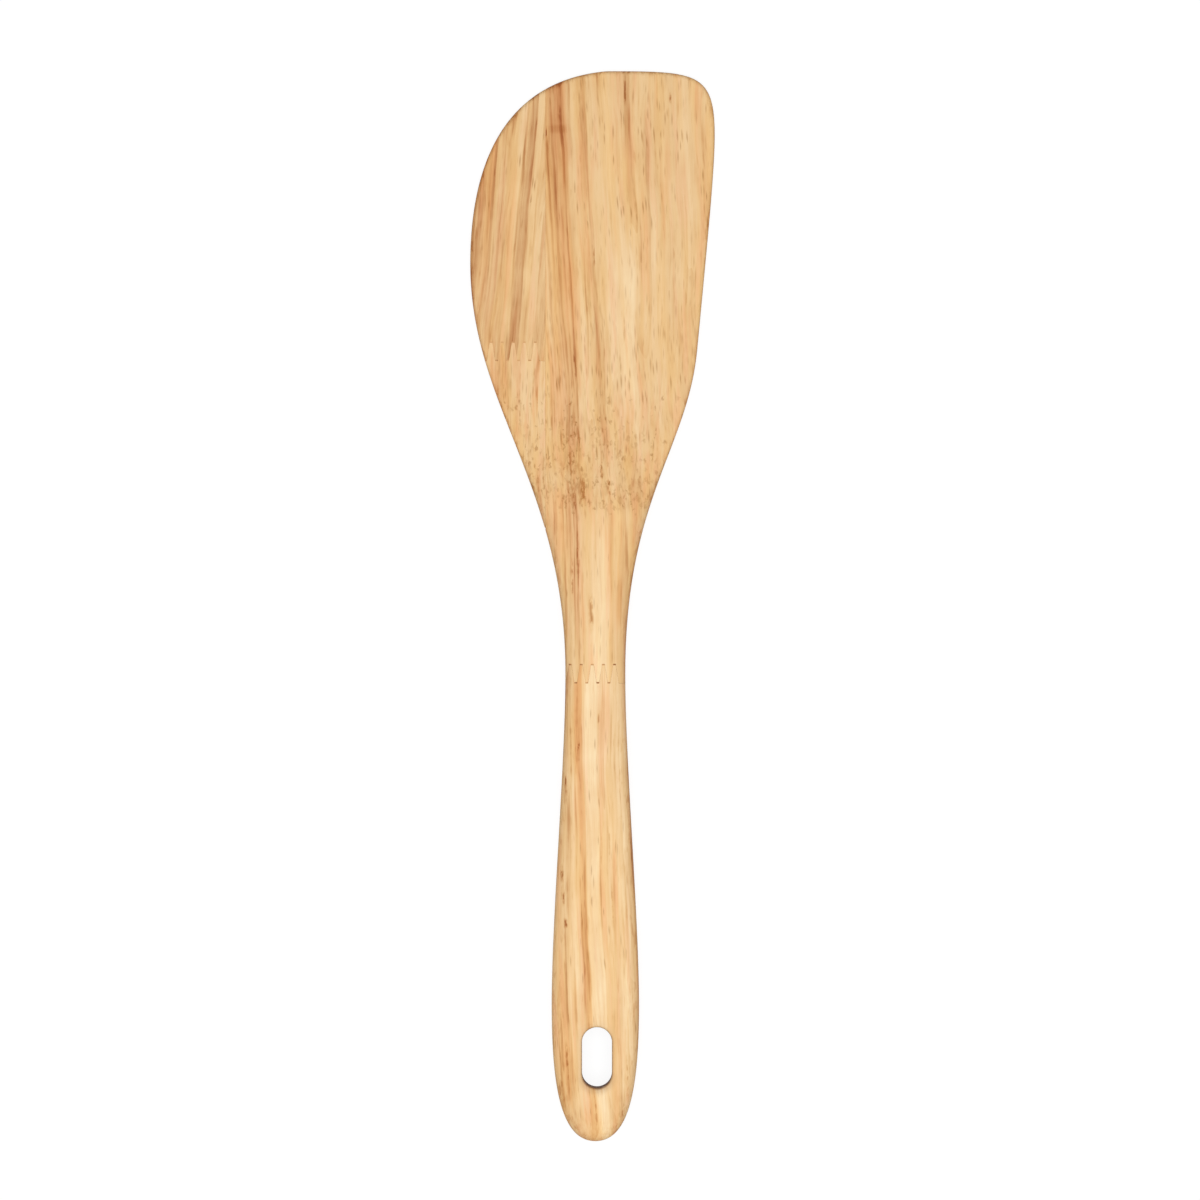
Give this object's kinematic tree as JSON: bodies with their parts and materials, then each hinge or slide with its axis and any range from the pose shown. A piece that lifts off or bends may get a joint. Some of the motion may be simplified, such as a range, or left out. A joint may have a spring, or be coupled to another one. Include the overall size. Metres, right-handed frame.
{
  "type": "wooden spatula",
  "caption": "Flat wooden turner with an asymmetric blade, a hollowed front and a rounded handle with a hanging slot, glued up from finger-jointed staves.",
  "frame": {"origin": "middle of the bounding box, on the surface that the spatula lies on", "axes": "+Y along the handle towards the blade's tip, +Z out of the blade's hollowed front, +X to the square-cornered side"},
  "size_m": [0.0686, 0.3, 0.011],
  "materials": {
    "blade_main_wood": "oiled, satin",
    "blade_left_upper_wood": "oiled, satin",
    "blade_left_lower_wood": "oiled, satin",
    "handle_wood": "oiled, satin",
    "edge_glue": "cured wood glue",
    "finger_glue": "cured wood glue"
  },
  "bodies": {
    "root": {"blade_main_stave": "blade_main_wood", "blade_left_upper_stave": "blade_left_upper_wood", "blade_left_lower_stave": "blade_left_lower_wood", "handle_stave": "handle_wood", "edge_glue_line": "edge_glue", "blade_finger_glue_line": "finger_glue", "neck_finger_glue_line": "finger_glue"}
  },
  "joints": []
}
